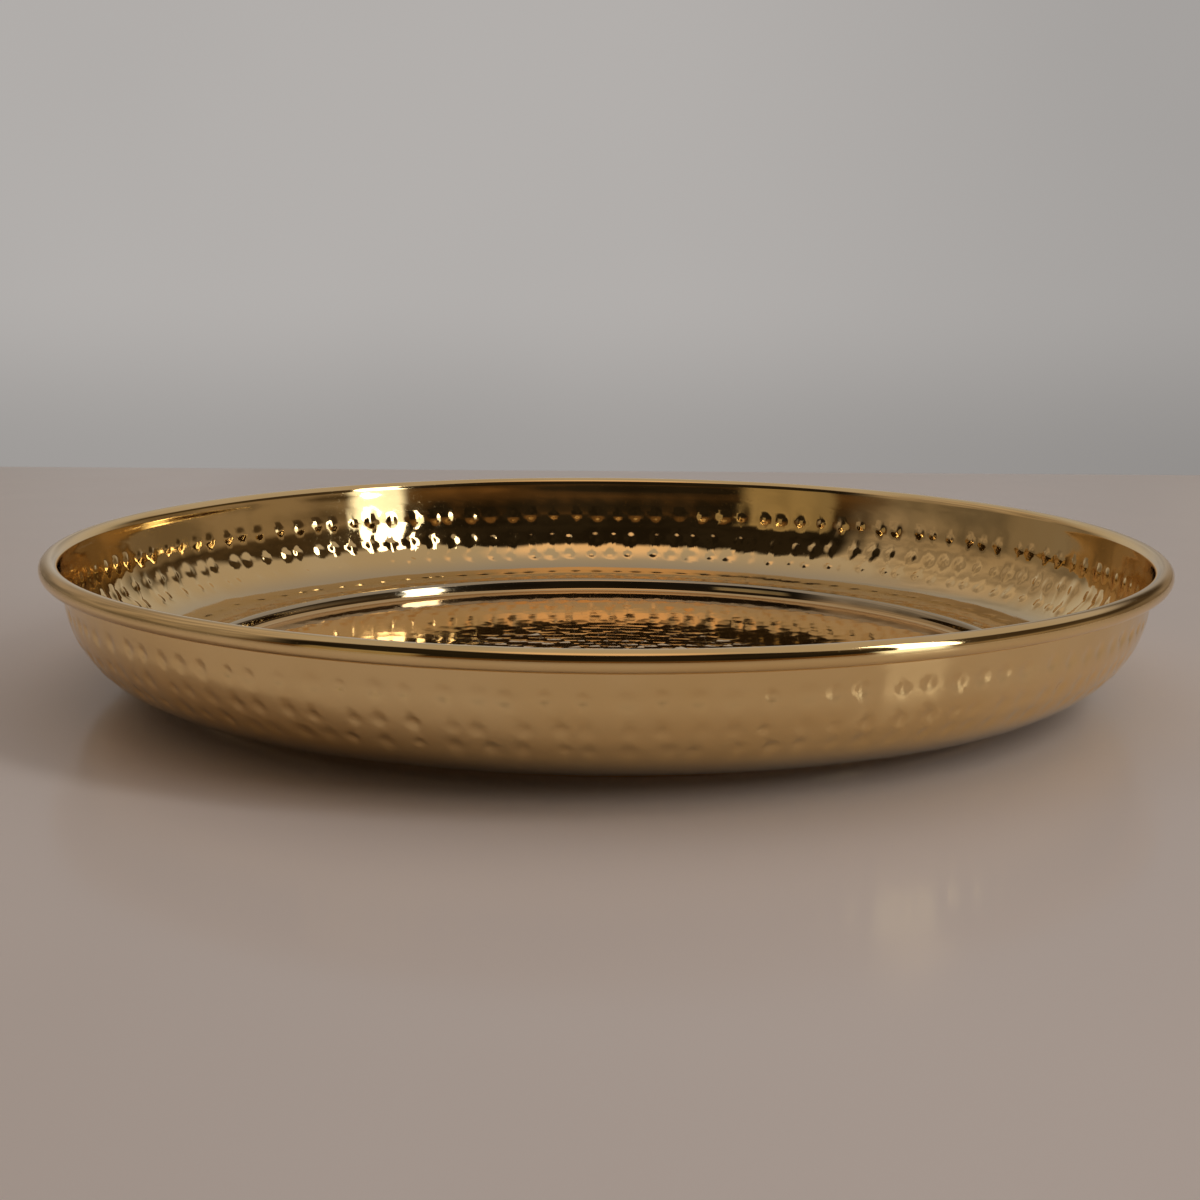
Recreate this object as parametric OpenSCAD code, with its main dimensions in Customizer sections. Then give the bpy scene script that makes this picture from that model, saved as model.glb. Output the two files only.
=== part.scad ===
// Thali plate: one round of sheet metal, raised into a shallow dish whose edge is rolled round a wire.
// Millimetres. The origin is the centre of the foot, on the surface that the plate stands on; +Z is up.

/* [Plate] */
// Outer diameter, measured across the rolled edge
plate_d = 305; // [220:1:450]
// Height from the surface it stands on to the top of the rolled edge
plate_h = 36.3; // [34:0.1:70]
// Thickness of the sheet
sheet_t = 1.0; // [0.6:0.1:1.4]

/* [Rolled edge] */
// Diameter of the roll, outside
roll_d = 5.2; // [4.4:0.1:9]
// Gap between the end of the roll and the outside of the wall
roll_gap = 0.3; // [0.1:0.1:2]
// Clearance all round between the wire and the roll
wire_clear = 0.15; // [0.05:0.05:0.3]
// Gap between the two ends of the wire
wire_gap = 0.6; // [0.3:0.1:3]

/* [Wall and cove] */
// Lean of the wall from upright, wider at the top
wall_lean = 10; // [0:0.1:20]
// Outside radius of the cove that joins the wall to the land
cove_r = 25.1; // [8:0.1:27]

/* [Ring and well] */
// Width of the flat land between the cove and the raised ring
land_w = 0.5; // [0.2:0.1:20]
// Height of the land above the surface it stands on
foot_h = 3.0; // [1.5:0.1:5]
// Height of the ring's crest above the land
ring_rise = 0.9; // [0.4:0.1:2.5]
// Radius of the ring's crest, on the upper face
crest_r = 2.0; // [1.6:0.1:4]
// Radius of the hollow on the ring's outer side, on the upper face
flank_r = 2.0; // [0.6:0.1:6]
// Radius of the hollow at the foot of the well's wall, on the upper face
well_r = 2.0; // [0.6:0.1:6]
// Steepest angle of the well's wall
well_slope = 75; // [40:1:88]

/* [Hidden] */
$fn = 180;
// Angles between neighbouring points of the section's arcs: the wide cove is drawn finer than the small bends
cove_step = 4;
bend_step = 9;
brass_colour = "#b8944f";
steel_colour = "#9a9c9e";

// The roll's centre, the circles on either side of the sheet there, and the angle short of a full turn at which it ends
roll_r = roll_d / 2;
roll_inside_r = roll_r - sheet_t;
roll_centre = [plate_d / 2 - roll_r, plate_h - roll_r];
roll_open = acos((roll_inside_r - roll_gap) / roll_r);

// The wall is a flat strip that leaves the roll's inner side at a tangent and meets the cove at a tangent
cove_centre_z = foot_h + cove_r;
wall_drop = roll_centre.y - cove_centre_z;
cove_centre = [roll_centre.x - (roll_inside_r + cove_r + wall_drop * sin(wall_lean)) / cos(wall_lean), cove_centre_z];

// The ring's two sides are S shaped: an arc over the crest, then an arc the other way at its foot
flank_angle = acos(1 - ring_rise / (crest_r + flank_r));
flank_w = (crest_r + flank_r) * sin(flank_angle);
land_top = foot_h + sheet_t;
land_inner_r = cove_centre.x - land_w;
crest_centre = [land_inner_r - flank_w, land_top + ring_rise - crest_r];
flank_centre = [land_inner_r, land_top + flank_r];

// The well's wall drops from the crest to the floor, with a straight stretch where the arcs leave room for it
well_drop = foot_h + ring_rise;
well_angle = min(well_slope, acos(max(-1, 1 - well_drop / (crest_r + well_r))));
well_straight = max(0, (well_drop - (crest_r + well_r) * (1 - cos(well_angle))) / sin(well_angle));
well_w = (crest_r + well_r) * sin(well_angle) + well_straight * cos(well_angle);
well_centre = [crest_centre.x - well_w, sheet_t + well_r];

wire_r = roll_inside_r - wire_clear;
wire_sweep = 360 * (1 - wire_gap / (2 * PI * roll_centre.x));

// Points along an arc from one angle to another, both ends included, no further apart than a step
function arc(centre, radius, from, to, step) =
    let (steps = ceil(abs(to - from) / step))
    [for (i = [0:steps]) let (a = from + (to - from) * i / steps) centre + radius * [cos(a), sin(a)]];

// One face of the sheet, from the roll's end to the middle of the floor. It lies inset from the face that ends up
// underneath and outside: an inset of nothing gives that face, and an inset of the sheet's thickness gives the other.
// Neighbouring arcs share a tangent, so the straight stretches are the lines between them.
function face(inset) = concat(
    arc(roll_centre, roll_inside_r + inset, roll_open - 180 - wall_lean, 180 - wall_lean, bend_step),
    arc(cove_centre, cove_r - inset, -wall_lean, -90, cove_step),
    arc(flank_centre, flank_r + sheet_t - inset, -90, -90 - flank_angle, bend_step),
    arc(crest_centre, crest_r - sheet_t + inset, 90 - flank_angle, 90 + well_angle, bend_step),
    arc(well_centre, well_r + sheet_t - inset, well_angle - 90, -90, bend_step),
    [[0, inset]]
);

// Points in the opposite order
function reversed(points) = [for (i = [len(points) - 1:-1:0]) points[i]];

// The sheet's section, from the roll's end below the wire, over the top, down the wall and across the floor
module sheet_section() {
    polygon(concat(face(0), reversed(face(sheet_t))));
}

module hammered_dish() {
    color(brass_colour)
        rotate_extrude()
            sheet_section();
}

// The wire is an open ring, its ends butted inside the roll
module rim_wire() {
    color(steel_colour)
        rotate_extrude(angle = wire_sweep)
            translate(roll_centre)
                circle(r = wire_r);
}

hammered_dish();
rim_wire();
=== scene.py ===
"""Thali plate: a hammered brass dish with a rolled edge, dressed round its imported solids.

The dish is one sheet of metal, so it is one closed surface. Its section is a row of tangent arcs and straight
stretches that is revolved round +Z, and the punched rows and the hammered floor are pressed into it. Metres,
with +Z up and the viewer on the -Y side. The origin is the centre of the foot.
"""

from __future__ import annotations

import logging
import math
from collections.abc import Callable
from dataclasses import dataclass, field
from enum import Enum, IntEnum
from functools import cached_property

import bpy
import numpy as np
from mathutils import Matrix, Quaternion, Vector


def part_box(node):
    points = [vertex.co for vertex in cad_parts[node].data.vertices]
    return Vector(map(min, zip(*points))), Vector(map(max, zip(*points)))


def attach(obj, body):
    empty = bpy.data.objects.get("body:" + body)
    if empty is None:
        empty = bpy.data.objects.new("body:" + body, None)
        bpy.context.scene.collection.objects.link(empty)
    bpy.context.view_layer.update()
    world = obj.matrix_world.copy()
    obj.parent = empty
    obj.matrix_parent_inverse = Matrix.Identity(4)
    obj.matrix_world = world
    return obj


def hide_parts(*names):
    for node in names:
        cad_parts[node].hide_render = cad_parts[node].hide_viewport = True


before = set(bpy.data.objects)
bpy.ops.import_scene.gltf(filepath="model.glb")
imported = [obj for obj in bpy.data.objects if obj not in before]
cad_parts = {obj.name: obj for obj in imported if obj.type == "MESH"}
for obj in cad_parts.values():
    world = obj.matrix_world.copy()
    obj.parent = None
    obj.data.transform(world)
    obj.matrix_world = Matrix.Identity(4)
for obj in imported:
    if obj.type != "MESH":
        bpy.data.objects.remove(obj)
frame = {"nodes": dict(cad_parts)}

log = logging.getLogger("thali")
MM = 0.001
FULL_TURN = 2 * math.pi
# The scatter of handwork is cut off at this many standard deviations
MOST_UNEVEN = 1.6
Array = np.ndarray
Pair = tuple[float, float]
Tone = tuple[float, float, float]
Socket = bpy.types.NodeSocket
Material = bpy.types.Material
Look = tuple[Socket, Socket | float]


class Face(Enum):
    """The two faces of the sheet, with the share of the thickness at which each lies."""

    UNDER = 0.0
    UPPER = 1.0


class Stretch(IntEnum):
    """The stretches of the section, in order from the roll's end to the middle of the floor."""

    ROLL = 0
    WALL = 1
    COVE = 2
    LAND = 3
    FLANK = 4
    FLANK_TOP = 5
    CREST = 6
    WELL_SLOPE = 7
    WELL_HOLLOW = 8
    FLOOR = 9


def smooth_share(value: Array, start: float, end: float) -> Array:
    """Rise smoothly from 0 at one value to 1 at another.

    The share t of the way is clamped to 0..1, and the result is t squared times (3 - 2t).

    Args:
        value: Where to read it.
        start: The value at which the rise begins.
        end: The value at which it is over.

    Returns:
        The risen share at each value.
    """
    t = np.clip((value - start) / (end - start), 0.0, 1.0)
    return t * t * (3.0 - 2.0 * t)


def handwork(random: np.random.Generator, shape: tuple[int, ...]) -> Array:
    """Draw the scatter of handwork: values round 0, two thirds of them within 1."""
    return random.normal(size=shape).clip(-MOST_UNEVEN, MOST_UNEVEN)


@dataclass(frozen=True)
class SheetSection:
    """The section of the sheet, followed along its under face from the roll's end to the middle of the floor.

    Each stretch is an arc about a centre or a straight line. The sheet's thickness is laid off square to it.
    """

    plate_d: float
    plate_h: float
    sheet_t: float = 1.0 * MM
    roll_d: float = 5.2 * MM
    roll_gap: float = 0.3 * MM
    wall_lean: float = math.radians(10.0)
    cove_r: float = 25.1 * MM
    land_w: float = 0.5 * MM
    foot_h: float = 3.0 * MM
    ring_rise: float = 0.9 * MM
    crest_r: float = 2.0 * MM
    flank_r: float = 2.0 * MM
    well_r: float = 2.0 * MM
    well_slope: float = math.radians(75)

    @property
    def roll_inside_r(self) -> float:
        """Radius of the roll's hollow, where the wire lies."""
        return self.roll_d / 2 - self.sheet_t

    @property
    def roll_centre(self) -> Pair:
        """Centre of the roll in the section."""
        return self.plate_d / 2 - self.roll_d / 2, self.plate_h - self.roll_d / 2

    @property
    def cove_centre(self) -> Pair:
        """Centre of the cove, placed so that the wall's strip touches the roll's hollow and the cove."""
        lean = self.wall_lean
        height = self.foot_h + self.cove_r
        drop = self.roll_centre[1] - height
        reach = (self.roll_inside_r + self.cove_r + drop * math.sin(lean)) / math.cos(lean)
        return self.roll_centre[0] - reach, height

    @property
    def flank_angle(self) -> float:
        """Slope at which the ring's outer flank passes into its crest."""
        return math.acos(1 - self.ring_rise / (self.crest_r + self.flank_r))

    @property
    def crest_centre(self) -> Pair:
        """Centre of the ring's crest."""
        flank_w = (self.crest_r + self.flank_r) * math.sin(self.flank_angle)
        land_top = self.foot_h + self.sheet_t
        return self.cove_centre[0] - self.land_w - flank_w, land_top + self.ring_rise - self.crest_r

    @property
    def well_centre(self) -> Pair:
        """Centre of the hollow at the foot of the well's wall."""
        both = self.crest_r + self.well_r
        angle = self.well_slope
        straight = (self.foot_h + self.ring_rise - both * (1 - math.cos(angle))) / math.sin(angle)
        radius = self.crest_centre[0] - both * math.sin(angle) - straight * math.cos(angle)
        return radius, self.sheet_t + self.well_r

    @cached_property
    def stretches(self) -> dict[str, Array]:
        """One row for each stretch, as arrays named base, run, radius, start, turn, facing and length.

        A point at a share of a stretch is base + share * run + radius * (cos a, sin a), where the angle a is
        start + share * turn. The thickness is laid off along facing * (cos a, sin a).
        """
        half, quarter = math.pi, math.pi / 2
        lean, flank, well = self.wall_lean, self.flank_angle, self.well_slope
        thick = self.sheet_t
        roll_open = math.acos((self.roll_inside_r - self.roll_gap) / (self.roll_d / 2))
        land = (self.cove_centre[0] - self.land_w, self.foot_h + thick + self.flank_r)
        arcs = (
            (self.roll_centre, self.roll_inside_r, roll_open - half - lean, half - lean, 1),
            (self.cove_centre, self.cove_r, -lean, -quarter, -1),
            (land, self.flank_r + thick, -quarter, -quarter - flank, -1),
            (self.crest_centre, self.crest_r - thick, quarter - flank, quarter + well, 1),
            (self.well_centre, self.well_r + thick, well - quarter, -quarter, -1),
        )
        rows = []
        for number, (centre, radius, start, end, facing) in enumerate(arcs):
            rows.append((*centre, 0.0, 0.0, radius, start, end - start, facing, radius * abs(end - start)))
            here = np.array(centre) + radius * np.array((math.cos(end), math.sin(end)))
            there = np.zeros(2)
            if number + 1 < len(arcs):
                centre, radius, start = arcs[number + 1][:3]
                there = np.array(centre) + radius * np.array((math.cos(start), math.sin(start)))
            run = there - here
            rows.append((*here, *run, 0.0, end, 0.0, facing, np.hypot(*run)))
        table = np.array(rows)
        names = ("radius", "start", "turn", "facing", "length")
        return {"base": table[:, :2], "run": table[:, 2:4], **dict(zip(names, table[:, 4:].T))}

    @cached_property
    def joints(self) -> Array:
        """Distances along the under face at which each stretch starts, and the middle of the floor last."""
        return np.concatenate(([0.0], np.cumsum(self.stretches["length"])))

    def at(self, along: Array) -> tuple[Array, Array]:
        """Follow the under face.

        Args:
            along: Distances from the roll's end.

        Returns:
            The points as (radius, height), and the unit directions in which the thickness is laid off there.
        """
        rows = self.stretches
        n = np.clip(np.searchsorted(self.joints, along, side="right") - 1, 0, len(self.joints) - 2)
        share = (along - self.joints[n]) / rows["length"][n]
        angle = rows["start"][n] + share * rows["turn"][n]
        direction = np.stack((np.cos(angle), np.sin(angle)), axis=-1)
        radius = rows["radius"][n][..., None]
        point = rows["base"][n] + share[..., None] * rows["run"][n] + radius * direction
        return point, rows["facing"][n][..., None] * direction

    def along_cove(self, height: Array) -> Array:
        """Distance along the under face at which the cove's outside has a height.

        The cove's angle below the level of its centre is the arcsine of the drop over the radius. The
        distance is that angle, less the wall's lean, times the radius.
        """
        angle = np.arcsin((self.cove_centre[1] - height) / self.cove_r)
        return self.joints[Stretch.COVE] + (angle - self.wall_lean) * self.cove_r


@dataclass
class PunchedRows:
    """The rows of dents, punched from outside: small round ones, each in the middle of a wide, shallow one.

    Each row has its height, and the distance by which it drifts up and down round the plate.
    """

    section: SheetSection
    rows: tuple[Pair, ...] = ((24.1 * MM, 0.8 * MM), (16.4 * MM, 1.3 * MM), (11.1 * MM, 1.9 * MM))
    count: int = 122
    row_shift: float = 0.1
    dent_r: float = 2.5 * MM
    dent_depth: float = 0.30 * MM
    wide_r: float = 7.8 * MM
    wide_depth: float = 0.15 * MM
    uneven_angle: float = 0.13
    uneven_height: float = 0.24 * MM
    wander: float = 0.2 * MM
    wander_waves: int = 3
    wander_phase: float = 2.0
    uneven_size: float = 0.12
    size_limits: Pair = (0.75, 1.3)
    uneven_depth: float = 0.16
    depth_limits: Pair = (0.6, 1.4)
    seed: int = 31

    def __post_init__(self) -> None:
        """Place each dent, with the unevenness of handwork in its angle, height, width and depth."""
        random = np.random.default_rng(self.seed)
        shape = (len(self.rows), self.count)
        order = np.arange(shape[0])[:, None]
        number = np.arange(self.count) + self.row_shift * order
        self.angle = (number + self.uneven_angle * handwork(random, shape)) * (FULL_TURN / self.count)
        base, drift = (np.array(values)[:, None] for values in zip(*self.rows))
        wander = self.wander * np.sin(self.wander_waves * self.angle + order * self.wander_phase)
        uneven = self.uneven_height * handwork(random, shape)
        self.along = self.section.along_cove(base - drift * np.sin(self.angle) + wander + uneven)
        self.size = random.normal(1.0, self.uneven_size, size=shape).clip(*self.size_limits)
        self.depth = random.normal(1.0, self.uneven_depth, size=shape).clip(*self.depth_limits)
        self.wall_r = self.section.at(self.along)[0][..., 0]

    def push(self, angle: Array, along: Array) -> Array:
        """How far the sheet is pushed inwards.

        With q the distance from a dent's centre over its radius, the dent is its depth times (1 - q squared)
        squared, and the wide one is its depth times (1 - q squared) cubed, with its own radius. Both are
        nothing beyond their radius. The three nearest dents of each row count.

        Args:
            angle: Angles round the plate.
            along: Distances along the section.

        Returns:
            The push at each place, towards the inside.
        """
        total = np.zeros(np.broadcast(angle, along).shape)
        nearest = np.rint(angle / (FULL_TURN / self.count)).astype(int)
        for row in range(len(self.rows)):
            for step in (-1, 0, 1):
                i = np.mod(nearest + step, self.count)
                turn = np.mod(angle - self.angle[row, i] + math.pi, FULL_TURN) - math.pi
                across = turn * self.wall_r[row, i]
                up = along - self.along[row, i]
                gap = across * across + up * up
                small = np.clip(1.0 - gap / (self.dent_r * self.size[row, i]) ** 2, 0.0, None)
                broad = np.clip(1.0 - gap / self.wide_r**2, 0.0, None)
                dent = self.dent_depth * self.depth[row, i] * small**2
                wide = self.wide_depth * self.depth[row, i] * broad**3
                total += dent + wide
        return total


@dataclass
class HandWaver:
    """The slight unevenness that raising by hand leaves in the sheet: a sum of slow waves round the plate."""

    waves: int = 26
    slowest: int = 3
    quickest: int = 96
    tilt: float = math.radians(0.5)
    twist: float = 45.0
    seed: int = 8

    def __post_init__(self) -> None:
        """Draw each wave's number round the plate, its phase, and how it changes along the section."""
        random = np.random.default_rng(self.seed)
        spread = random.uniform(math.log(self.slowest), math.log(self.quickest), self.waves)
        self.number = np.round(np.exp(spread))
        self.phase = random.uniform(0, FULL_TURN, self.waves)
        self.turn = random.normal(0, self.twist, self.waves)

    def push(self, angle: Array, along: Array, radius: float) -> Array:
        """Add up the waves.

        A wave of number m is sin(m * angle + turn * along + phase), with an amplitude of tilt * radius / m
        shared among the waves, so that each of them tilts the surface alike.

        Args:
            angle: Angles round the plate.
            along: Distances along the section.
            radius: The plate's radius.

        Returns:
            The push at each place, towards the inside.
        """
        total = np.zeros(np.broadcast(angle, along).shape)
        for number, phase, turn in zip(self.number, self.phase, self.turn):
            total += np.sin(number * angle + turn * along + phase) * radius / number
        return total * self.tilt / math.sqrt(self.waves)


@dataclass
class HammeredFloor:
    """The floor's hammer marks: shallow bowls that overlap, in rings, from its rim to its middle."""

    floor_r: float
    ring_step: float = 4.4 * MM
    first_ring: float = 0.45
    last_ring: float = 0.6
    mark_step: float = 6.6 * MM
    bowl_r: float = 46.0 * MM
    curve_range: Pair = (0.75, 1.35)
    uneven_place: float = 0.8 * MM
    uneven_depth: float = 0.006 * MM
    depth_limit: float = 2.0
    ridge_blend: float = 0.003 * MM
    ridge_share: float = 0.8
    middle_r: float = 42.0 * MM
    plain_r: float = 62.0 * MM
    plain_share: float = 0.16
    edge_fade: float = 1.6 * MM
    reach: int = 2
    seed: int = 5

    def __post_init__(self) -> None:
        """Place the marks ring by ring, with the unevenness of handwork."""
        random = np.random.default_rng(self.seed)
        outer, inner = self.floor_r - self.first_ring * self.ring_step, self.last_ring * self.ring_step
        self.ring_r = np.append(np.arange(outer, inner, -self.ring_step), 0.0)
        self.counts = np.maximum(1, np.round(FULL_TURN * self.ring_r / self.mark_step)).astype(int)
        shape = (len(self.ring_r), self.counts.max())
        self.phase = random.uniform(0, 1, len(self.ring_r))
        turn = (np.arange(shape[1]) + self.phase[:, None]) * FULL_TURN / self.counts[:, None]
        place = self.ring_r[:, None, None] * np.stack((np.cos(turn), np.sin(turn)), axis=-1)
        self.place = place + self.uneven_place * handwork(random, (*shape, 2))
        level = random.normal(size=shape).clip(-self.depth_limit, self.depth_limit)
        self.level = self.uneven_depth * level
        self.curve = 1 / (2 * self.bowl_r * random.uniform(*self.curve_range, size=shape))

    def depth(self, x: Array, y: Array) -> Array:
        """How far the floor is hammered down.

        Each bowl's height is its level plus its curve times the squared distance from its centre. The floor
        is the smallest of them, with the ridges between bowls rounded: -blend * log(sum of exp(-height /
        blend)). Only the marks of the nearest rings and angles count.

        Args:
            x: Places across.
            y: Places in depth.

        Returns:
            The depth below the sheet's upper face. It is full in the middle of the floor, is a small share of
            that outside it, and fades out at the floor's rim.
        """
        radius, angle = np.hypot(x, y), np.arctan2(y, x)
        middle = np.rint((self.ring_r[0] - radius) / self.ring_step).astype(int)
        near = range(-self.reach, self.reach + 1)
        heights = []
        for ring_off in near:
            ring = np.clip(middle + ring_off, 0, len(self.ring_r) - 1)
            count = self.counts[ring]
            nearest = np.rint(angle * count / FULL_TURN - self.phase[ring]).astype(int)
            for mark_off in near:
                i = np.mod(nearest + mark_off, count)
                centre = self.place[ring, i]
                gap = (x - centre[..., 0]) ** 2 + (y - centre[..., 1]) ** 2
                heights.append(self.level[ring, i] + self.curve[ring, i] * gap)
        stack = np.stack(heights)
        least = stack.min(axis=0)
        # The same mark can be met twice near the middle, which lifts the sum a little and harms nothing.
        floor = least - self.ridge_blend * np.log(np.exp((least - stack) / self.ridge_blend).sum(axis=0))
        ridge = (self.ridge_share * self.ring_step) ** 2 / (2 * self.bowl_r)
        top = self.depth_limit * self.uneven_depth + ridge
        share = 1.0 - (1.0 - self.plain_share) * smooth_share(radius, self.middle_r, self.plain_r)
        return (top - floor) * share * smooth_share(self.floor_r - radius, 0.0, self.edge_fade)


@dataclass
class SheetMesh:
    """Collects rings of vertices with their normals, and the faces between them."""

    points: list[Array] = field(default_factory=list)
    normals: list[Array] = field(default_factory=list)
    faces: list[Array] = field(default_factory=list)
    total: int = 0

    def add_ring(self, points: Array, normals: Array) -> Array:
        """Keep one ring.

        Args:
            points: Its places.
            normals: The normals there.

        Returns:
            Its vertex numbers.
        """
        numbers = np.arange(self.total, self.total + len(points))
        self.points.append(points)
        self.normals.append(normals)
        self.total += len(points)
        return numbers

    def bridge(self, a: Array, b: Array) -> None:
        """Join two rings that have any numbers of vertices.

        Both rings start near the same angle and run the same way, evenly by number. Every edge of a ring gets
        a triangle whose third corner is the other ring's vertex that lies opposite the edge's middle. Where
        two middles lie level, the edge of the first ring comes first.

        Args:
            a: Vertex numbers of the ring that comes first on the way from the foot round both faces.
            b: Vertex numbers of the next ring.
        """
        mid_a, mid_b = (np.arange(len(a)) + 0.5) / len(a), (np.arange(len(b)) + 0.5) / len(b)
        facing_a = b[np.searchsorted(mid_b, mid_a, side="left") % len(b)]
        facing_b = a[np.searchsorted(mid_a, mid_b, side="right") % len(a)]
        self.faces.append(np.stack((a, np.roll(a, -1), facing_a), axis=1))
        self.faces.append(np.stack((np.roll(b, -1), b, facing_b), axis=1))

    def fan(self, ring: Array, centre: Array) -> None:
        """Close a ring with triangles to one vertex."""
        ends = np.roll(ring, -1)
        self.faces.append(np.stack((ring, ends, np.full(len(ring), centre[0])), axis=1))

    def to_object(self, name: str) -> bpy.types.Object:
        """Make the mesh, smooth shaded with its exact normals, and link its object.

        Args:
            name: The name of the mesh and of the object.

        Returns:
            The object.
        """
        points = np.concatenate(self.points)
        normals = np.concatenate(self.normals)
        faces = np.concatenate(self.faces)
        mesh = bpy.data.meshes.new(name)
        mesh.vertices.add(len(points))
        mesh.vertices.foreach_set("co", points.astype(np.float32).ravel())
        mesh.loops.add(faces.size)
        mesh.loops.foreach_set("vertex_index", faces.astype(np.int32).ravel())
        mesh.polygons.add(len(faces))
        mesh.polygons.foreach_set("loop_start", np.arange(0, faces.size, 3, dtype=np.int32))
        mesh.update(calc_edges=True)
        mesh.validate()
        mesh.polygons.foreach_set("use_smooth", np.ones(len(mesh.polygons), dtype=bool))
        mesh.normals_split_custom_set_from_vertices(normals)
        piece = bpy.data.objects.new(name, mesh)
        bpy.context.scene.collection.objects.link(piece)
        return piece


@dataclass
class HammeredDish:
    """The dish: one sheet of brass with its floor, ring, cove, wall and rolled edge.

    Each pair of steps or cells holds the under face's and then the upper face's.
    """

    section: SheetSection
    plain_columns: int = 244
    fewest_columns: int = 6
    corner_r: float = 0.25 * MM
    relief_fade: float = 3.0 * MM
    slope_step: float = 2e-6
    wall_step: float = 1.6 * MM
    roll_steps: Pair = (0.9 * MM, 0.42 * MM)
    land_steps: Pair = (2.4 * MM, 1.7 * MM)
    bend_steps: Pair = (0.9 * MM, 0.45 * MM)
    floor_cells: Pair = (9 * MM, 1.75 * MM)
    middle_cells: Pair = (9 * MM, 0.75 * MM)
    dent_shares: tuple[float, ...] = (-0.28, -0.185, -0.095, 0.0, 0.095, 0.185, 0.28, 0.5)
    band_half: float = 1.75 * MM
    band_margin: float = 0.7
    rows_between: tuple[int, ...] = (2, 6, 2, 6, 1, 6, 2)

    def __post_init__(self) -> None:
        """Make the reliefs that are pressed into the sheet."""
        self.punched = PunchedRows(self.section)
        self.waver = HandWaver()
        self.hammered = HammeredFloor(self.section.well_centre[0])
        self.mesh = SheetMesh()

    def place(self, angle: Array, along: Array, face: Face) -> Array:
        """Where a place on a face of the sheet lies.

        The under face's point is moved along the direction of the thickness by the face's share of it, plus
        the push of the relief, and is then turned round +Z by the angle.

        Args:
            angle: Angles round the plate.
            along: Distances along the section.
            face: The face of the sheet.

        Returns:
            The places, as an array with one more axis.
        """
        joints = self.section.joints
        point, out = self.section.at(along)
        below_roll = smooth_share(along, joints[Stretch.WALL], joints[Stretch.WALL] + self.relief_fade)
        on_wall = below_roll * (1 - smooth_share(along, joints[Stretch.FLANK], joints[Stretch.WELL_SLOPE]))
        push = self.punched.push(angle, along) + self.waver.push(angle, along, self.section.plate_d / 2)
        offset = face.value * self.section.sheet_t + push * on_wall
        if face is Face.UPPER:
            x, y = point[..., 0] * np.cos(angle), point[..., 0] * np.sin(angle)
            on_floor = point[..., 0] < self.section.well_centre[0]
            offset = offset - np.where(on_floor, self.hammered.depth(x, y), 0.0)
        radius = point[..., 0] + offset * out[..., 0]
        height = point[..., 1] + offset * out[..., 1]
        return np.stack((radius * np.cos(angle), radius * np.sin(angle), height), axis=-1)

    def normal(self, angle: Array, along: Array, face: Face) -> Array:
        """The unit normal out of the metal: the cross product of the slopes along and round the surface.

        Each slope is the difference of two places that lie a small step to either side.

        Args:
            angle: Angles round the plate.
            along: Distances along the section.
            face: The face of the sheet.

        Returns:
            The normals, as an array with one more axis.
        """
        step = self.slope_step
        turn = step / self.section.plate_d
        way = self.place(angle, along + step, face) - self.place(angle, along - step, face)
        lap = self.place(angle + turn, along, face) - self.place(angle - turn, along, face)
        out = np.cross(way, lap) if face is Face.UNDER else np.cross(lap, way)
        return out / np.linalg.norm(out, axis=-1, keepdims=True)

    def ring(self, angle: Array, along: Array | float, face: Face) -> Array:
        """Add one ring of the sheet's face to the mesh, and return its vertex numbers."""
        along = np.broadcast_to(along, angle.shape).astype(float)
        return self.mesh.add_ring(self.place(angle, along, face), self.normal(angle, along, face))

    def even_angles(self, count: int) -> Array:
        """Angles spaced evenly round the plate."""
        return np.arange(count) * FULL_TURN / count

    def stations(self, start: float, end: float, step: float) -> Array:
        """Distances along the section no more than a step apart, both ends included."""
        return np.linspace(start, end, max(2, math.ceil((end - start) / step) + 1))

    @cached_property
    def wall_grid(self) -> tuple[Array, Array]:
        """Angles and distances of the wall's grid, whose lines gather at the dents.

        Each column has a share of the pitch between dents, and each row of dents bends the columns and rows
        so that they cross at its centres. Between two of those rows it passes evenly from one to the other.
        """
        punched = self.punched
        column = (np.arange(punched.count)[:, None] + np.array(self.dent_shares)).ravel()
        numbers = np.arange(-1, punched.count + 2)
        wrapped = numbers % punched.count
        turns = np.where(numbers < 0, -FULL_TURN, np.where(numbers >= punched.count, FULL_TURN, 0.0))
        angles, levels = [], []
        for row in range(len(punched.rows)):
            held = np.interp(column, numbers, punched.angle[row, wrapped] + turns)
            level = np.interp(column, numbers, punched.along[row, wrapped])
            for side in (-1, 1):
                angles.append(held)
                levels.append(level + side * self.band_half)
        even = column * FULL_TURN / punched.count
        margin = self.band_margin * self.band_half
        top = np.full_like(even, levels[0].min() - margin)
        bottom = np.full_like(even, levels[-1].max() + margin)
        knots_angle = np.array([even, *angles, even])
        knots_along = np.array([top, *levels, bottom])
        bands = len(self.rows_between)
        parts = [band + np.arange(rows) / rows for band, rows in enumerate(self.rows_between)]
        shares = np.append(np.concatenate(parts), bands)
        before = np.minimum(shares.astype(int), bands - 1)
        share = (shares - before)[:, None]
        angle = (1 - share) * knots_angle[before] + share * knots_angle[before + 1]
        along = (1 - share) * knots_along[before] + share * knots_along[before + 1]
        return angle, along

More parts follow.
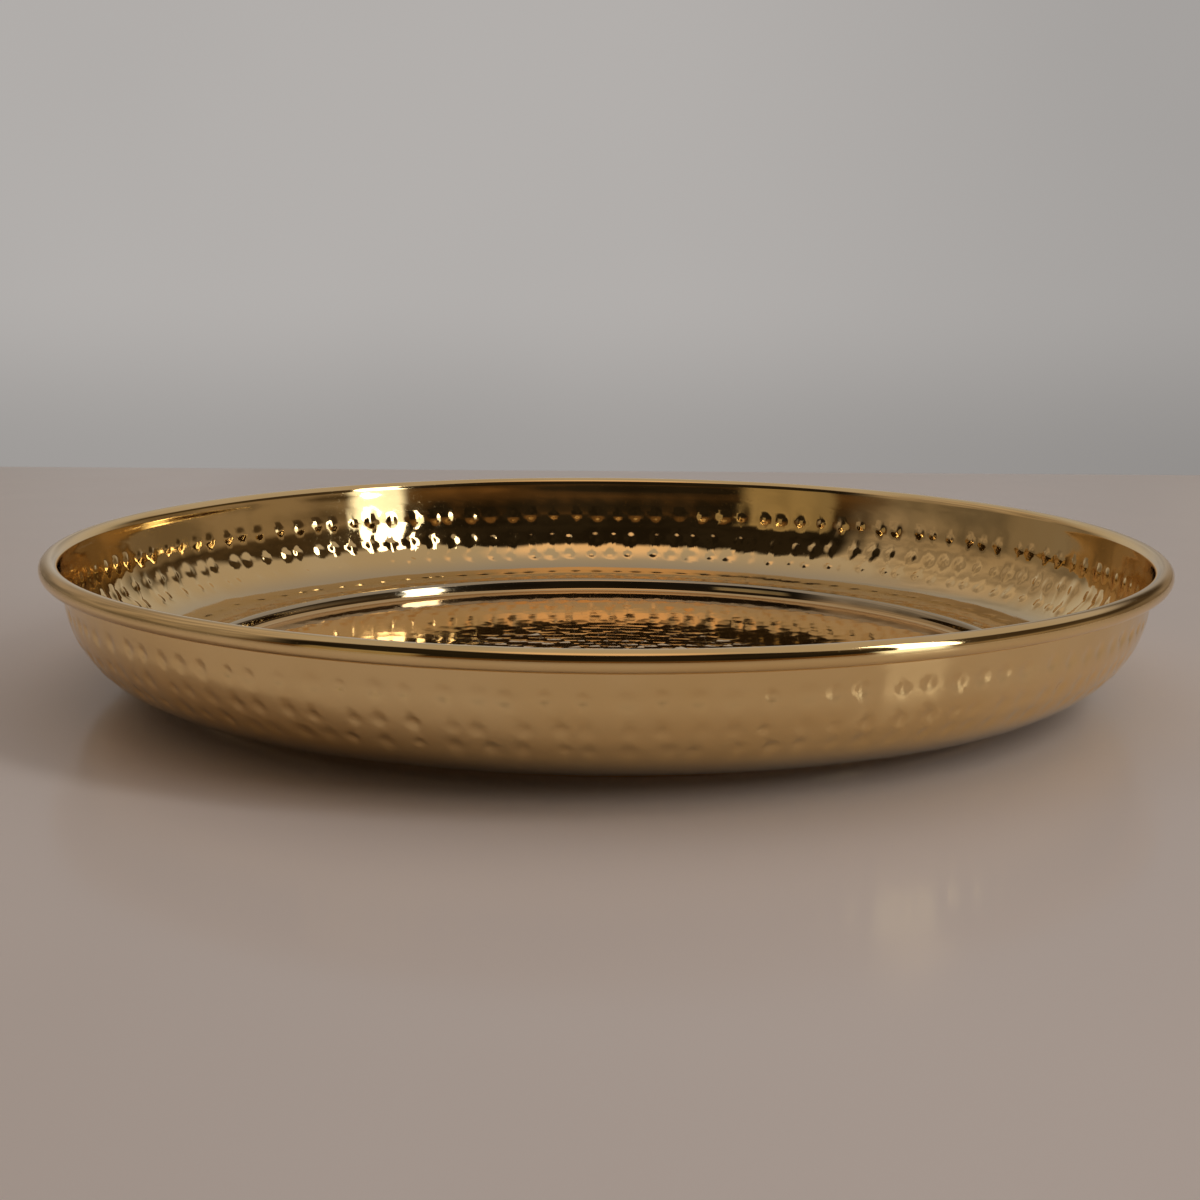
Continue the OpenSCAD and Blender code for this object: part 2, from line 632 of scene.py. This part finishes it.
    def rings_of(self, face: Face) -> list[Array]:
        """Add every ring of one face, from beside the roll's end to the middle of the floor.

        Args:
            face: The face of the sheet.

        Returns:
            The vertex numbers of each ring in order.
        """
        joints = self.section.joints
        side = int(face.value)
        plain = self.even_angles(self.plain_columns)
        grid_angle, grid_along = self.wall_grid
        top, bottom = grid_along[0, 0], grid_along[-1, 0]
        wall, flank, floor = (joints[n] for n in (Stretch.WALL, Stretch.FLANK, Stretch.FLOOR))
        roll = self.stations(self.corner_r, wall, self.roll_steps[side])
        above = self.stations(wall, top, self.wall_step)[1:-1]
        rings = [self.ring(plain, along, face) for along in (*roll, *above)]
        rings += [self.ring(angle, along, face) for angle, along in zip(grid_angle, grid_along)]
        below = self.stations(bottom, flank, self.land_steps[side])[1:]
        bends = self.stations(flank, floor, self.bend_steps[side])[1:]
        rings += [self.ring(plain, along, face) for along in (*below, *bends)]
        change = joints[-1] - 0.5 * (self.hammered.middle_r + self.hammered.plain_r)
        first = 1
        cells = self.floor_cells[side], self.middle_cells[side]
        for start, end, cell in zip((floor, change), (change, joints[-1]), cells):
            for along in self.stations(start, end, cell)[first:-1]:
                around = FULL_TURN * (joints[-1] - along)
                count = max(self.fewest_columns, round(around / cell))
                rings.append(self.ring(self.even_angles(count), along, face))
            first = 0
        return rings

    def revolved(self, pair: Array, angle: Array) -> Array:
        """Turn a point or a direction of the section round +Z to every angle."""
        x, y = pair[0] * np.cos(angle), pair[0] * np.sin(angle)
        return np.stack((x, y, np.full_like(angle, pair[1])), axis=1)

    def end_rings(self) -> list[Array]:
        """Add the rounded cut edge of the roll, from its under face to its upper face.

        Each of its two corners has two rings: one in the middle of its rounding, and one at its end.

        Returns:
            The vertex numbers of each ring in order.
        """
        plain = self.even_angles(self.plain_columns)
        point, out = self.section.at(np.array([self.corner_r]))
        back = np.array((out[0, 1], -out[0, 0]))
        rings = []
        near, far = self.corner_r, self.section.sheet_t - self.corner_r
        for depth, tilts in ((near, (-45, 0)), (far, (0, 45))):
            for tilt in np.radians(tilts):
                facing = math.cos(tilt) * back + math.sin(tilt) * out[0]
                spot = point[0] + depth * out[0] + self.corner_r * facing
                points, normals = self.revolved(spot, plain), self.revolved(facing, plain)
                rings.append(self.mesh.add_ring(points, normals))
        return rings

    def build(self) -> bpy.types.Object:
        """Build the whole sheet as one closed mesh.

        Returns:
            The dish's object.
        """
        under = self.rings_of(Face.UNDER)
        end = self.end_rings()
        upper = self.rings_of(Face.UPPER)
        lap = [*reversed(under), *end, *upper]
        for a, b in zip(lap, lap[1:]):
            self.mesh.bridge(a, b)
        for ring, face, flip in ((under[-1], Face.UNDER, True), (upper[-1], Face.UPPER, False)):
            middle = self.section.joints[-1]
            point = self.place(np.zeros(1), np.array([middle]), face)
            point[:, :2] = 0.0
            centre = self.mesh.add_ring(point, np.array([[0.0, 0.0, -1.0 if flip else 1.0]]))
            self.mesh.fan(ring[::-1] if flip else ring, centre)
        dish = self.mesh.to_object("hammered_dish_sheet")
        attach(dish, "root")
        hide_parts("hammered_dish")
        return dish


class NodeBoard:
    """A small helper that adds nodes to a tree and links them by name."""

    def __init__(self, tree: bpy.types.NodeTree) -> None:
        """Keep the tree and empty it."""
        self.tree = tree
        tree.nodes.clear()

    def add(self, kind: str, inputs: dict | None = None, **settings: object) -> bpy.types.Node:
        """Add one node.

        Args:
            kind: The node's type name, without the ShaderNode in front of it where it has one.
            inputs: By input name or number, a socket to link from or a value to set.
            **settings: Attributes of the node.

        Returns:
            The new node.
        """
        node = self.tree.nodes.new(kind if kind.startswith("NodeGroup") else f"ShaderNode{kind}")
        for key, value in settings.items():
            setattr(node, key, value)
        for key, value in (inputs or {}).items():
            if isinstance(value, Socket):
                self.tree.links.new(value, node.inputs[key])
            else:
                node.inputs[key].default_value = value
        return node

    def math(self, operation: str, a: Socket, b: Socket | float = 0.0, c: Socket | float = 0.0) -> Socket:
        """Add a Math node, and return its output."""
        return self.add("Math", {0: a, 1: b, 2: c}, operation=operation).outputs[0]

    def blend(self, share: Socket, first: Socket | Tone, second: Socket | Tone) -> Socket:
        """Pass from one colour to another, each of them a socket or a tone."""
        a, b = (colour if isinstance(colour, Socket) else (*colour, 1.0) for colour in (first, second))
        return self.add("Mix", {"Factor": share, "A": a, "B": b}, data_type="RGBA").outputs["Result"]

    def scaled(self, colour: Socket, level: Socket) -> Socket:
        """Multiply a colour by a level."""
        return self.add("VectorMath", {0: colour, 1: level}, operation="MULTIPLY").outputs[0]

    def ramp(self, value: Socket, low: float, high: float, out: Pair = (0.0, 1.0)) -> Socket:
        """Map a value smoothly from low..high to the two given results."""
        inputs = {"Value": value, "From Min": low, "From Max": high, "To Min": out[0], "To Max": out[1]}
        return self.add("MapRange", inputs, interpolation_type="SMOOTHSTEP").outputs[0]

    def noise(self, where: Socket, scale: Socket | float, detail: float, roughness: float = 0.5) -> Socket:
        """Add a cloudy noise, and return its value."""
        inputs = {"Vector": where, "Scale": scale, "Detail": detail, "Roughness": roughness}
        return self.add("TexNoise", inputs).outputs[0]


Side = Callable[[NodeBoard, Socket, Socket], Socket]


@dataclass(frozen=True)
class HandlingMarks:
    """The shared effect of use: smears of handling, and fine hair scratches, as a shader node group.

    The scratches are three sets of lines, each with a turn and a share to which it is stretched thin.
    """

    name: str = "handling_marks"
    smear_warp: float = 0.6
    smear_range: Pair = (0.46, 0.7)
    scratch_sets: tuple[Pair, ...] = ((0.4, 0.05), (1.7, 0.07), (2.6, 0.06))
    scratch_range: Pair = (0.66, 0.74)

    def group(self) -> bpy.types.NodeTree:
        """Build the group once.

        It takes Object coordinates, the fineness of the smears and that of the scratches. It puts out a mask
        of each, and a height for a Bump node.

        Returns:
            The group's node tree.
        """
        known = bpy.data.node_groups.get(self.name)
        if known:
            return known
        tree = bpy.data.node_groups.new(self.name, "ShaderNodeTree")
        board = NodeBoard(tree)
        sockets = tree.interface
        sockets.new_socket("Vector", in_out="INPUT", socket_type="NodeSocketVector")
        for label in ("Smear Scale", "Scratch Scale"):
            sockets.new_socket(label, in_out="INPUT", socket_type="NodeSocketFloat")
        for label in ("Smears", "Scratches", "Height"):
            sockets.new_socket(label, in_out="OUTPUT", socket_type="NodeSocketFloat")
        where, smear_scale, scratch_scale = board.add("NodeGroupInput").outputs[:3]
        broad = board.noise(where, smear_scale, detail=4.0, roughness=0.55)
        broad.node.inputs["Distortion"].default_value = self.smear_warp
        smears = board.ramp(broad, *self.smear_range)
        lines = []
        for turn, stretch in self.scratch_sets:
            inputs = {"Vector": where, "Rotation": (0.0, 0.0, turn), "Scale": (1.0, stretch, 1.0)}
            fine = board.noise(board.add("Mapping", inputs).outputs[0], scratch_scale, detail=2.0)
            lines.append(board.ramp(fine, *self.scratch_range))
        scratches = board.math("MAXIMUM", board.math("MAXIMUM", lines[0], lines[1]), lines[2])
        height = board.math("MULTIPLY", scratches, -1.0)
        board.add("NodeGroupOutput", {"Smears": smears, "Scratches": scratches, "Height": height})
        return tree


@dataclass(frozen=True)
class MetalFinish:
    """A bare metal with marks of use. Each finish has its own look, a colour and a roughness."""

    name: str
    smear_scale: float
    scratch_scale: float
    scratch_roughness: float
    bump_strength: float
    bump_depth: float

    def look(self, board: NodeBoard, place: Socket, smears: Socket) -> Look:
        """The metal's colour, and its roughness between the scratches."""
        raise NotImplementedError

    def material(self) -> Material:
        """Build the material.

        Returns:
            The material, made new.
        """
        material = bpy.data.materials.new(self.name)
        material.use_nodes = True
        board = NodeBoard(material.node_tree)
        place = board.add("TexCoord").outputs["Object"]
        inputs = {"Vector": place, "Smear Scale": self.smear_scale, "Scratch Scale": self.scratch_scale}
        smears, scratches, height = board.add("Group", inputs, node_tree=HandlingMarks().group()).outputs
        colour, even = self.look(board, place, smears)
        roughness = board.math("MULTIPLY_ADD", scratches, self.scratch_roughness, even)
        inputs = {"Strength": self.bump_strength, "Distance": self.bump_depth, "Height": height}
        normal = board.add("Bump", inputs).outputs[0]
        inputs = {"Metallic": 1.0, "Base Color": colour, "Roughness": roughness, "Normal": normal}
        shader = board.add("BsdfPrincipled", inputs)
        board.add("OutputMaterial", {"Surface": shader.outputs[0]})
        return material


@dataclass(frozen=True)
class BrassFinish(MetalFinish):
    """Polished brass in two warm tones, with patina and painted shade low down, rougher where handled."""

    name: str = "hammered_brass"
    smear_scale: float = 26.0
    scratch_scale: float = 900.0
    scratch_roughness: float = 0.08
    bump_strength: float = 0.05
    bump_depth: float = 0.02 * MM
    bright: Tone = (0.92, 0.68, 0.34)
    warm: Tone = (0.87, 0.615, 0.28)
    cloud_scale: float = 17.0
    cloud_range: Pair = (0.35, 0.7)
    # Patina together with painted shade: the darker tones low on the plate, and the heights where they take
    # over.
    toned_and_shaded: Tone = (0.53, 0.45, 0.32)
    patina_and_shade_height: Pair = (4.0 * MM, 12.0 * MM)
    patchy_range: Pair = (0.3, 0.7)
    patchy_share: Pair = (1.0, 0.8)
    floor: Tone = (0.72, 0.50, 0.25)
    floor_height: Pair = (1.5 * MM, 3.5 * MM)
    grain_scale: float = 60.0
    grain_range: Pair = (0.3, 0.75)
    roughness: float = 0.055
    uneven_roughness: Pair = (0.75, 1.3)
    smear_roughness: float = 0.035

    def look(self, board: NodeBoard, place: Socket, smears: Socket) -> Look:
        """The brass's colour, and its roughness between the scratches.

        Clouds pass from the bright tone to the warm one. Low on the plate darker tones take over, a patina
        together with painted shade, and they are a little thinner in the same clouds.

        Args:
            board: The material's board.
            place: Its Object coordinates.
            smears: The mask of the smears.

        Returns:
            The colour and the roughness.
        """
        tone = board.noise(place, self.cloud_scale, detail=3.0, roughness=0.6)
        clean = board.blend(board.ramp(tone, *self.cloud_range), self.bright, self.warm)
        height = board.add("SeparateXYZ", {0: place}).outputs[2]
        # Painted shade together with patina: the colour passes to darker tones low on the plate.
        low = board.ramp(height, *self.patina_and_shade_height, (1.0, 0.0))
        lowest = board.ramp(height, *self.floor_height, (1.0, 0.0))
        patina_and_shade = board.blend(lowest, self.toned_and_shaded, self.floor)
        kept = board.math("MULTIPLY", low, board.ramp(tone, *self.patchy_range, self.patchy_share))
        grain = board.noise(place, self.grain_scale, detail=5.0, roughness=0.65)
        least, most = (self.roughness * share for share in self.uneven_roughness)
        uneven = board.ramp(grain, *self.grain_range, (least, most))
        smeared = board.math("MULTIPLY_ADD", smears, self.smear_roughness, uneven)
        return board.blend(kept, clean, patina_and_shade), smeared


@dataclass(frozen=True)
class WireFinish(MetalFinish):
    """Drawn steel wire, dull, with smears and scratches."""

    name: str = "rim_steel"
    smear_scale: float = 90.0
    scratch_scale: float = 1400.0
    scratch_roughness: float = 0.2
    bump_strength: float = 0.2
    bump_depth: float = 0.03 * MM
    bright: Tone = (0.50, 0.51, 0.52)
    dull: Tone = (0.30, 0.28, 0.26)
    roughness: float = 0.38

    def look(self, board: NodeBoard, place: Socket, smears: Socket) -> Look:
        """The steel's colour, and its roughness between the scratches."""
        return board.blend(smears, self.bright, self.dull), self.roughness


@dataclass(frozen=True)
class PalePatch:
    """A paler patch low on the room's walls: its tone, and in degrees its two soft sides and its soft top."""

    tone: Tone
    sides: tuple[float, float, float, float]
    top: Pair


@dataclass(frozen=True)
class Room:
    """The room round the table, seen from the plate: azimuths run from -Y towards +X, elevations upwards.

    The camera's side is dim, the left side is of a middle tone, the right side is deeper, and the back is
    paler. A strip of another tone runs round the room at the table's level, with a paler patch on either side
    of the camera. The ceiling is pale, with a glow in front. It begins high over the camera and comes down
    along the right side towards the back. All angles are in degrees, and each pair gives the two ends of a
    smooth change.
    """

    dim: Tone = (0.016, 0.012, 0.008)
    left: Tone = (0.26, 0.21, 0.165)
    left_high: Tone = (0.38, 0.32, 0.27)
    right: Tone = (0.055, 0.038, 0.022)
    back: Tone = (0.36, 0.345, 0.335)
    front_strip: Tone = (0.11, 0.058, 0.022)
    left_strip: Tone = (0.16, 0.13, 0.10)
    right_strip: Tone = (0.19, 0.145, 0.10)
    ceiling: Tone = (0.41, 0.37, 0.345)
    glow: Tone = (0.80, 0.58, 0.42)
    left_edge: Pair = (-78.0, -60.0)
    left_shift: float = 14.0
    left_rise: Pair = (18.0, 52.0)
    right_edge: Pair = (45.0, 65.0)
    back_edge: Pair = (148.0, 172.0)
    strip_edge: Pair = (8.0, 16.0)
    ceiling_edge: Pair = (-6.0, 3.0)
    ceiling_front: float = 69.0
    ceiling_left: float = 55.0
    ceiling_right: float = 48.0
    ceiling_back: float = 26.0
    ceiling_fall: Pair = (82.0, 128.0)
    glow_depth: Pair = (-0.18, 0.12)
    glow_side: Pair = (0.12, 0.36)
    patches: tuple[PalePatch, ...] = (
        PalePatch(tone=(1.2, 1.25, 1.25), sides=(50.0, 54.0, 64.0, 68.0), top=(15.0, 20.0)),
        PalePatch(tone=(0.30, 0.23, 0.13), sides=(-60.0, -56.0, -37.0, -33.0), top=(18.0, 26.0)),
    )
    cloud_scale: float = 3.2
    cloud_range: Pair = (0.35, 0.65)
    uneven: Pair = (0.75, 1.25)

    def dress(self, board: NodeBoard) -> None:
        """Build the world's nodes.

        Args:
            board: The world's board.
        """
        place = board.add("TexCoord").outputs["Generated"]
        x, y, z = board.add("SeparateXYZ", {0: place}).outputs
        azimuth = board.math("DEGREES", board.math("ARCTAN2", x, board.math("MULTIPLY", y, -1.0)))
        elevation = board.math("DEGREES", board.math("ARCSINE", z))
        rise = board.ramp(elevation, *self.left_rise)
        shifted = board.math("MULTIPLY_ADD", rise, self.left_shift, azimuth)
        on_left = board.ramp(shifted, *self.left_edge, (1.0, 0.0))
        on_right = board.ramp(azimuth, *self.right_edge)
        behind = board.ramp(board.math("ABSOLUTE", azimuth), *self.back_edge)
        walls = board.blend(on_left, self.dim, board.blend(rise, self.left, self.left_high))
        walls = board.blend(on_right, walls, self.right)
        strip = board.blend(on_left, self.front_strip, self.left_strip)
        strip = board.blend(on_right, strip, self.right_strip)
        walls = board.blend(board.ramp(elevation, *self.strip_edge, (1.0, 0.0)), walls, strip)
        walls = board.blend(behind, walls, self.back)
        for patch in self.patches:
            begun = board.ramp(azimuth, *patch.sides[:2])
            across = board.math("MULTIPLY", begun, board.ramp(azimuth, *patch.sides[2:], (1.0, 0.0)))
            covered = board.math("MULTIPLY", across, board.ramp(elevation, *patch.top, (1.0, 0.0)))
            walls = board.blend(covered, walls, patch.tone)
        cloud = board.noise(place, self.cloud_scale, detail=3.0, roughness=0.55)
        walls = board.scaled(walls, board.ramp(cloud, *self.cloud_range, self.uneven))
        fall = board.ramp(azimuth, *self.ceiling_fall, (self.ceiling_right, self.ceiling_back))
        inputs = {"Factor": on_left, "A": self.ceiling_front, "B": self.ceiling_left}
        height = board.add("Mix", inputs).outputs[0]
        height = board.add("Mix", {"Factor": on_right, "A": height, "B": fall}).outputs[0]
        high = board.ramp(board.math("SUBTRACT", elevation, height), *self.ceiling_edge)
        ahead = board.ramp(y, *self.glow_depth, (1.0, 0.0))
        near = board.ramp(board.math("ABSOLUTE", x), *self.glow_side, (1.0, 0.0))
        over = board.blend(board.math("MULTIPLY", ahead, near), self.ceiling, self.glow)
        shine = board.add("Background", {"Color": board.blend(high, walls, over)}).outputs[0]
        board.add("OutputWorld", {"Surface": shine})


@dataclass(frozen=True)
class PhotoCamera:
    """The camera at the photograph's angle. It aims at the middle of the foot, then turns a little."""

    distance: float = 0.5185
    down: float = math.radians(12.403)
    yaw: float = math.radians(-0.173)
    pitch: float = math.radians(2.047)
    roll: float = math.radians(0.430)
    lens: float = 54.79
    sensor_w: float = 36.0
    nearest: float = 0.01

    def turned(self, a: Vector, b: Vector, angle: float) -> tuple[Vector, Vector]:
        """Turn two square directions in their plane, so that the first moves towards the second."""
        return math.cos(angle) * a + math.sin(angle) * b, math.cos(angle) * b - math.sin(angle) * a

    def build(self) -> None:
        """Place the camera, and make it the scene's."""
        forward = Vector((0.0, math.cos(self.down), -math.sin(self.down)))
        right, up = Vector((1.0, 0.0, 0.0)), Vector((0.0, math.sin(self.down), math.cos(self.down)))
        ahead, right = self.turned(forward, right, self.yaw)
        ahead, up = self.turned(ahead, up, self.pitch)
        right, up = self.turned(right, up, self.roll)
        data = bpy.data.cameras.new("camera")
        data.sensor_width = self.sensor_w
        data.lens = self.lens
        data.clip_start = self.nearest
        camera = bpy.data.objects.new("camera", data)
        turn = Matrix((right, up, -ahead)).transposed()
        camera.matrix_world = Matrix.LocRotScale(-self.distance * forward, turn.to_quaternion(), None)
        bpy.context.scene.collection.objects.link(camera)
        bpy.context.scene.camera = camera


@dataclass
class Studio:
    """The plain table and backdrop, and the soft light.

    Two of the backdrop's pairs, for its foot and for its right, each hold two shares of its tone: a
    painted shade. The backdrop's other pairs are the places between which it changes.
    """

    cloud_scale: float = 2.4
    cloud_range: Pair = (0.3, 0.7)
    cloud_lift: float = 1.05
    contact: float = 0.05 * MM
    table_tone: Tone = (0.94, 0.86, 0.825)
    table_specular: float = 0.09
    gloss: Pair = (0.13, 0.21)
    gloss_scale: float = 9.0
    gloss_range: Pair = (0.35, 0.65)
    table_half: float = 3.0
    table_z: float = -0.01 * MM
    backdrop_tone: Tone = (0.43, 0.41, 0.395)
    backdrop_y: float = 0.50
    backdrop_h: float = 1.6
    # Painted shade on the backdrop: deeper near the table and to the right.
    backdrop_foot: Pair = (0.0, 0.10)
    backdrop_foot_shade: Pair = (0.79, 1.0)
    backdrop_right: Pair = (-0.02, 0.32)
    backdrop_right_shade: Pair = (1.0, 0.84)
    backdrop_sides: Pair = (0.05, 0.32)
    backdrop_top: Pair = (0.2, 0.5)
    softbox_azimuth: float = math.radians(69.5)
    softbox_distance: float = 1.35
    softbox_height: float = 1.20
    softbox_size: Pair = (0.32, 1.68)
    softbox_lean: float = math.radians(17)
    softbox_radiance: float = 4.2
    softbox_tint: Tone = (1.0, 0.985, 0.96)
    room: Room = field(default_factory=Room)

    def plain_surface(self, name: str, tone: Tone, side: Side) -> Material:
        """A plain surface with a faint cloudiness.

        It is clear from behind, so that it hides nothing from a camera behind it. It is also clear to rays
        that start almost on it, so that the plate's foot shows the room in a view from below.

        Args:
            name: The material's name.
            tone: Its colour.
            side: Makes the front's shader from the board, the Object coordinates and the clouded colour.

        Returns:
            The material.
        """
        material = bpy.data.materials.new(name)
        material.use_nodes = True
        board = NodeBoard(material.node_tree)
        place = board.add("TexCoord").outputs["Object"]
        cloud = board.ramp(board.noise(place, self.cloud_scale, detail=3.0), *self.cloud_range)
        colour = board.blend(cloud, tone, tuple(min(1.0, self.cloud_lift * t) for t in tone))
        behind = board.add("NewGeometry").outputs["Backfacing"]
        near = board.math("LESS_THAN", board.add("LightPath").outputs["Ray Length"], self.contact)
        clear = board.add("BsdfTransparent").outputs[0]
        unseen = board.math("MAXIMUM", behind, near)
        mixed = board.add("MixShader", {0: unseen, 1: side(board, place, colour), 2: clear})
        board.add("OutputMaterial", {"Surface": mixed.outputs[0]})
        return material

    def table_side(self, board: NodeBoard, place: Socket, colour: Socket) -> Socket:
        """The table's shader: pale, with a slight gloss that is a little uneven."""
        gloss = board.ramp(board.noise(place, self.gloss_scale, detail=2.0), *self.gloss_range, self.gloss)
        inputs = {"Specular IOR Level": self.table_specular, "Base Color": colour, "Roughness": gloss}
        return board.add("BsdfPrincipled", inputs).outputs[0]

    def backdrop_side(self, board: NodeBoard, place: Socket, colour: Socket) -> Socket:
        """The backdrop's shader: a plain tone, with a painted shade that makes it a little deeper towards the
        table and to the right.

        The camera sees all of it, and mirror images show it with its sides and its top faded out. It lights
        nothing.

        Args:
            board: The backdrop's board.
            place: Its Object coordinates.
            colour: Its clouded colour.

        Returns:
            The shader's socket.
        """
        x, _, z = board.add("SeparateXYZ", {0: place}).outputs
        # Painted shade: the tone is scaled down towards the table and to the right.
        foot = board.ramp(z, *self.backdrop_foot, self.backdrop_foot_shade)
        across = board.ramp(x, *self.backdrop_right, self.backdrop_right_shade)
        toned_and_shaded = board.scaled(colour, board.math("MULTIPLY", foot, across))
        plain = board.add("Emission", {"Color": toned_and_shaded}).outputs[0]
        clear = board.add("BsdfTransparent").outputs[0]
        path = board.add("LightPath").outputs
        mirrored = board.math("MAXIMUM", path["Is Glossy Ray"], path["Is Transmission Ray"])
        beside = board.ramp(board.math("ABSOLUTE", x), *self.backdrop_sides, (1.0, 0.0))
        faded = board.math("MULTIPLY", beside, board.ramp(z, *self.backdrop_top, (1.0, 0.0)))
        seen = board.math("MAXIMUM", path["Is Camera Ray"], board.math("MULTIPLY", mirrored, faded))
        return board.add("MixShader", {0: seen, 1: clear, 2: plain}).outputs[0]

    def sheet(self, name: str, corners: list[Tone], material: Material) -> None:
        """Make one flat four-sided stage piece.

        Args:
            name: The name of the mesh and of the object.
            corners: Its four corners in order.
            material: Its material.
        """
        mesh = bpy.data.meshes.new(name)
        mesh.from_pydata(corners, [], [(0, 1, 2, 3)])
        mesh.materials.append(material)
        piece = bpy.data.objects.new(name, mesh)
        bpy.context.scene.collection.objects.link(piece)

    def build_stage(self) -> None:
        """Lay the table and stand the backdrop."""
        w, z, back, h = self.table_half, self.table_z, self.backdrop_y, self.backdrop_h
        table = self.plain_surface("table", self.table_tone, self.table_side)
        backdrop = self.plain_surface("backdrop", self.backdrop_tone, self.backdrop_side)
        self.sheet("table", [(-w, -w, z), (w, -w, z), (w, w, z), (-w, w, z)], table)
        self.sheet("backdrop", [(-w, back, 0), (w, back, 0), (w, back, h), (-w, back, h)], backdrop)

    def hang_softbox(self) -> None:
        """Hang the softbox, a tall light that faces the table's axis, with its top leaning from the viewer.

        Its power is its radiance times pi times its area.
        """
        width, height = self.softbox_size
        light = bpy.data.lights.new("softbox", "AREA")
        light.shape = "RECTANGLE"
        light.size, light.size_y = width, height
        light.energy = self.softbox_radiance * math.pi * width * height
        light.color = self.softbox_tint
        lamp = bpy.data.objects.new("softbox", light)
        angle = self.softbox_azimuth
        level = Vector((math.sin(angle), -math.cos(angle), 0.0)) * self.softbox_distance
        lamp.location = (level.x, level.y, self.softbox_height)
        lamp.rotation_mode = "QUATERNION"
        lean = Quaternion((0.0, 0.0, 1.0), -self.softbox_lean)
        lamp.rotation_quaternion = level.to_track_quat("Z", "Y") @ lean
        bpy.context.scene.collection.objects.link(lamp)

    def build_light(self) -> None:
        """Light the plate from a tall softbox in front on the right, in a room with a pale ceiling."""
        self.hang_softbox()
        world = bpy.data.worlds.new("room")
        bpy.context.scene.world = world
        world.use_nodes = True
        self.room.dress(NodeBoard(world.node_tree))


def dress_wire(packed: dict) -> None:
    """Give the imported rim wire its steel."""
    wire = packed["nodes"]["rim_wire"]
    wire.data.materials.clear()
    wire.data.materials.append(WireFinish().material())


def main() -> None:
    """Build the plate's looks, the stage, the light and the camera in order."""
    logging.basicConfig(level=logging.INFO, format="%(message)s")
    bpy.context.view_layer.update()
    low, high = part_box("hammered_dish")
    dish = HammeredDish(SheetSection(plate_d=high.x - low.x, plate_h=high.z - low.z)).build()
    dish.data.materials.append(BrassFinish().material())
    log.info("%s: %d triangles", dish.name, len(dish.data.polygons))
    dress_wire(frame)
    log.info("rim_wire: dressed")
    studio = Studio()
    studio.build_stage()
    studio.build_light()
    PhotoCamera().build()
    bpy.context.scene.view_settings.view_transform = "Standard"


if __name__ == "__main__":
    main()
